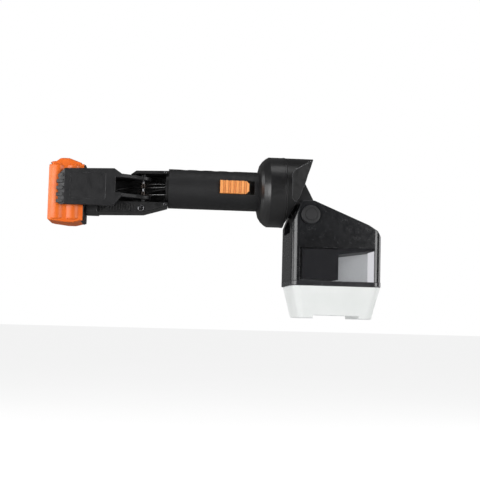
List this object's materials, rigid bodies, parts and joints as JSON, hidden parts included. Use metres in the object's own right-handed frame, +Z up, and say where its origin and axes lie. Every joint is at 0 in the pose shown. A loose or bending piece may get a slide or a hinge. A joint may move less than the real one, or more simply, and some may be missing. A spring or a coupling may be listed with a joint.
{
  "type": "compact cordless snow shovel",
  "caption": "Hand-held powered snow shovel: grip with clip-on battery, flared guard, and a swivelling, tilting rotor head with smoked windows and a white tray.",
  "frame": {"origin": "middle of the hand grip, on the grip's axis", "axes": "+X along the grip towards the head, +Z up with the head hanging below, +Y away from the slide switch"},
  "size_m": [0.4054, 0.1056, 0.2001],
  "materials": {
    "orange_shell": "moulded orange plastic with a fine grain",
    "orange_switch": "bright orange plastic, satin",
    "black_plastic": "black moulded plastic, fine grain",
    "charcoal_plastic": "charcoal moulded plastic, satin",
    "grey_plastic": "grey engineering plastic",
    "cell_wrap": "shrink-wrapped steel cells",
    "nickel": "nickel strip",
    "circuit_board": "green solder resist",
    "brass": "stamped contacts",
    "screw_steel": "plated steel",
    "dark_steel": "blackened steel",
    "spring_steel": "bright spring wire",
    "motor_steel": "drawn motor can with its magnets",
    "motor_iron": "laminated core and windings",
    "bearing_bronze": "sintered bushes",
    "cable_rubber": "insulated cable",
    "belt_rubber": "toothed belt",
    "soft_rubber": "soft rubber",
    "grip_rubber": "black overmoulded grip, satin",
    "collar_gloss": "dark plastic, semi-gloss",
    "hood_black": "black plastic",
    "head_black": "black plastic, faintly mottled gloss",
    "button_black": "black plastic",
    "case_black": "black plastic",
    "smoked_clear": "lightly smoked clear plastic",
    "rim_gloss": "dark plastic, glossy",
    "frosted_white": "white plastic, frosted"
  },
  "bodies": {
    "handle": {"battery_dock": "black_plastic", "dock_terminals": "brass", "neck_frame": "black_plastic", "neck_screws": "dark_steel", "latch_pin": "dark_steel", "latch_spring": "spring_steel", "power_leads": "cable_rubber", "grip_shell_top": "grip_rubber", "grip_shell_bottom": "grip_rubber", "grip_screws": "screw_steel", "switch_frame": "black_plastic", "switch_module": "grey_plastic", "control_board": "circuit_board", "motor_leads": "cable_rubber", "guard_collar": "collar_gloss", "collar_ring": "collar_gloss"},
    "battery_pack": {"battery_shell": "orange_shell", "battery_base": "black_plastic", "battery_cells": "cell_wrap", "cell_straps": "nickel", "cell_spacers": "grey_plastic", "battery_board": "circuit_board", "battery_terminals": "brass", "battery_screws": "screw_steel"},
    "latch": {"latch_lever": "charcoal_plastic", "latch_pad": "soft_rubber"},
    "power_switch": {"slide_switch": "orange_switch", "switch_carrier": "grey_plastic"},
    "yoke": {"yoke_hood": "hood_black", "yoke_frame": "hood_black", "yoke_screws": "screw_steel", "swivel_clip": "spring_steel", "yoke_cable": "cable_rubber"},
    "head": {"head_housing": "head_black", "front_window": "smoked_clear", "rear_window": "smoked_clear", "head_rim": "rim_gloss", "rotor_tray": "frosted_white", "tray_screws": "screw_steel", "tilt_axle": "screw_steel", "pivot_cap": "head_black", "lock_spring": "spring_steel", "head_cable": "cable_rubber", "drive_case": "case_black", "case_cover": "case_black", "case_screws": "screw_steel", "mount_screws": "screw_steel", "chute_ceiling": "case_black", "chute_wall": "frosted_white", "motor_can": "motor_steel", "motor_endcap": "grey_plastic", "drive_belt": "belt_rubber", "rotor_bearings": "bearing_bronze"},
    "tilt_lock": {"tilt_lock_button": "button_black"},
    "motor_rotor": {"motor_armature": "motor_iron", "drive_pulley": "grey_plastic"},
    "snow_rotor": {"rotor_shaft": "screw_steel", "rotor_paddles": "soft_rubber", "rotor_pulley": "grey_plastic"}
  },
  "joints": [
    {"name": "battery_slide", "type": "slide", "parent": "handle", "child": "battery_pack", "axis": [0, 0, 1], "range_m": [0, 0.095]},
    {"name": "latch_pivot", "type": "hinge", "parent": "handle", "child": "latch", "pos_m": [-0.087, -0.008, 0], "axis": [0, 0, 1], "range_deg": [0, 30], "deforming": ["latch_spring"]},
    {"name": "switch_slide", "type": "slide", "parent": "handle", "child": "power_switch", "axis": [1, 0, 0], "range_m": [0, 0.0065]},
    {"name": "head_swivel", "type": "hinge", "parent": "handle", "child": "yoke", "pos_m": [0.088, 0, 0], "axis": [1, 0, 0], "range_deg": [-90, 90]},
    {"name": "head_tilt", "type": "hinge", "parent": "yoke", "child": "head", "pos_m": [0.1157, 0, -0.0313], "axis": [0, -1, 0], "range_deg": [0, 45]},
    {"name": "tilt_lock_press", "type": "slide", "parent": "head", "child": "tilt_lock", "axis": [0, 1, 0], "range_m": [0, 0.003], "deforming": ["lock_spring"]},
    {"name": "motor_spin", "type": "hinge", "parent": "head", "child": "motor_rotor", "pos_m": [0.126, 0, -0.0905], "axis": [0, 1, 0], "continuous": true},
    {"name": "rotor_spin", "type": "hinge", "parent": "head", "child": "snow_rotor", "pos_m": [0.15, 0, -0.134], "axis": [0, 1, 0], "continuous": true}
  ],
  "couplings": [
    {"joint": "rotor_spin", "follows": "motor_spin", "ratio": 0.5}
  ]
}
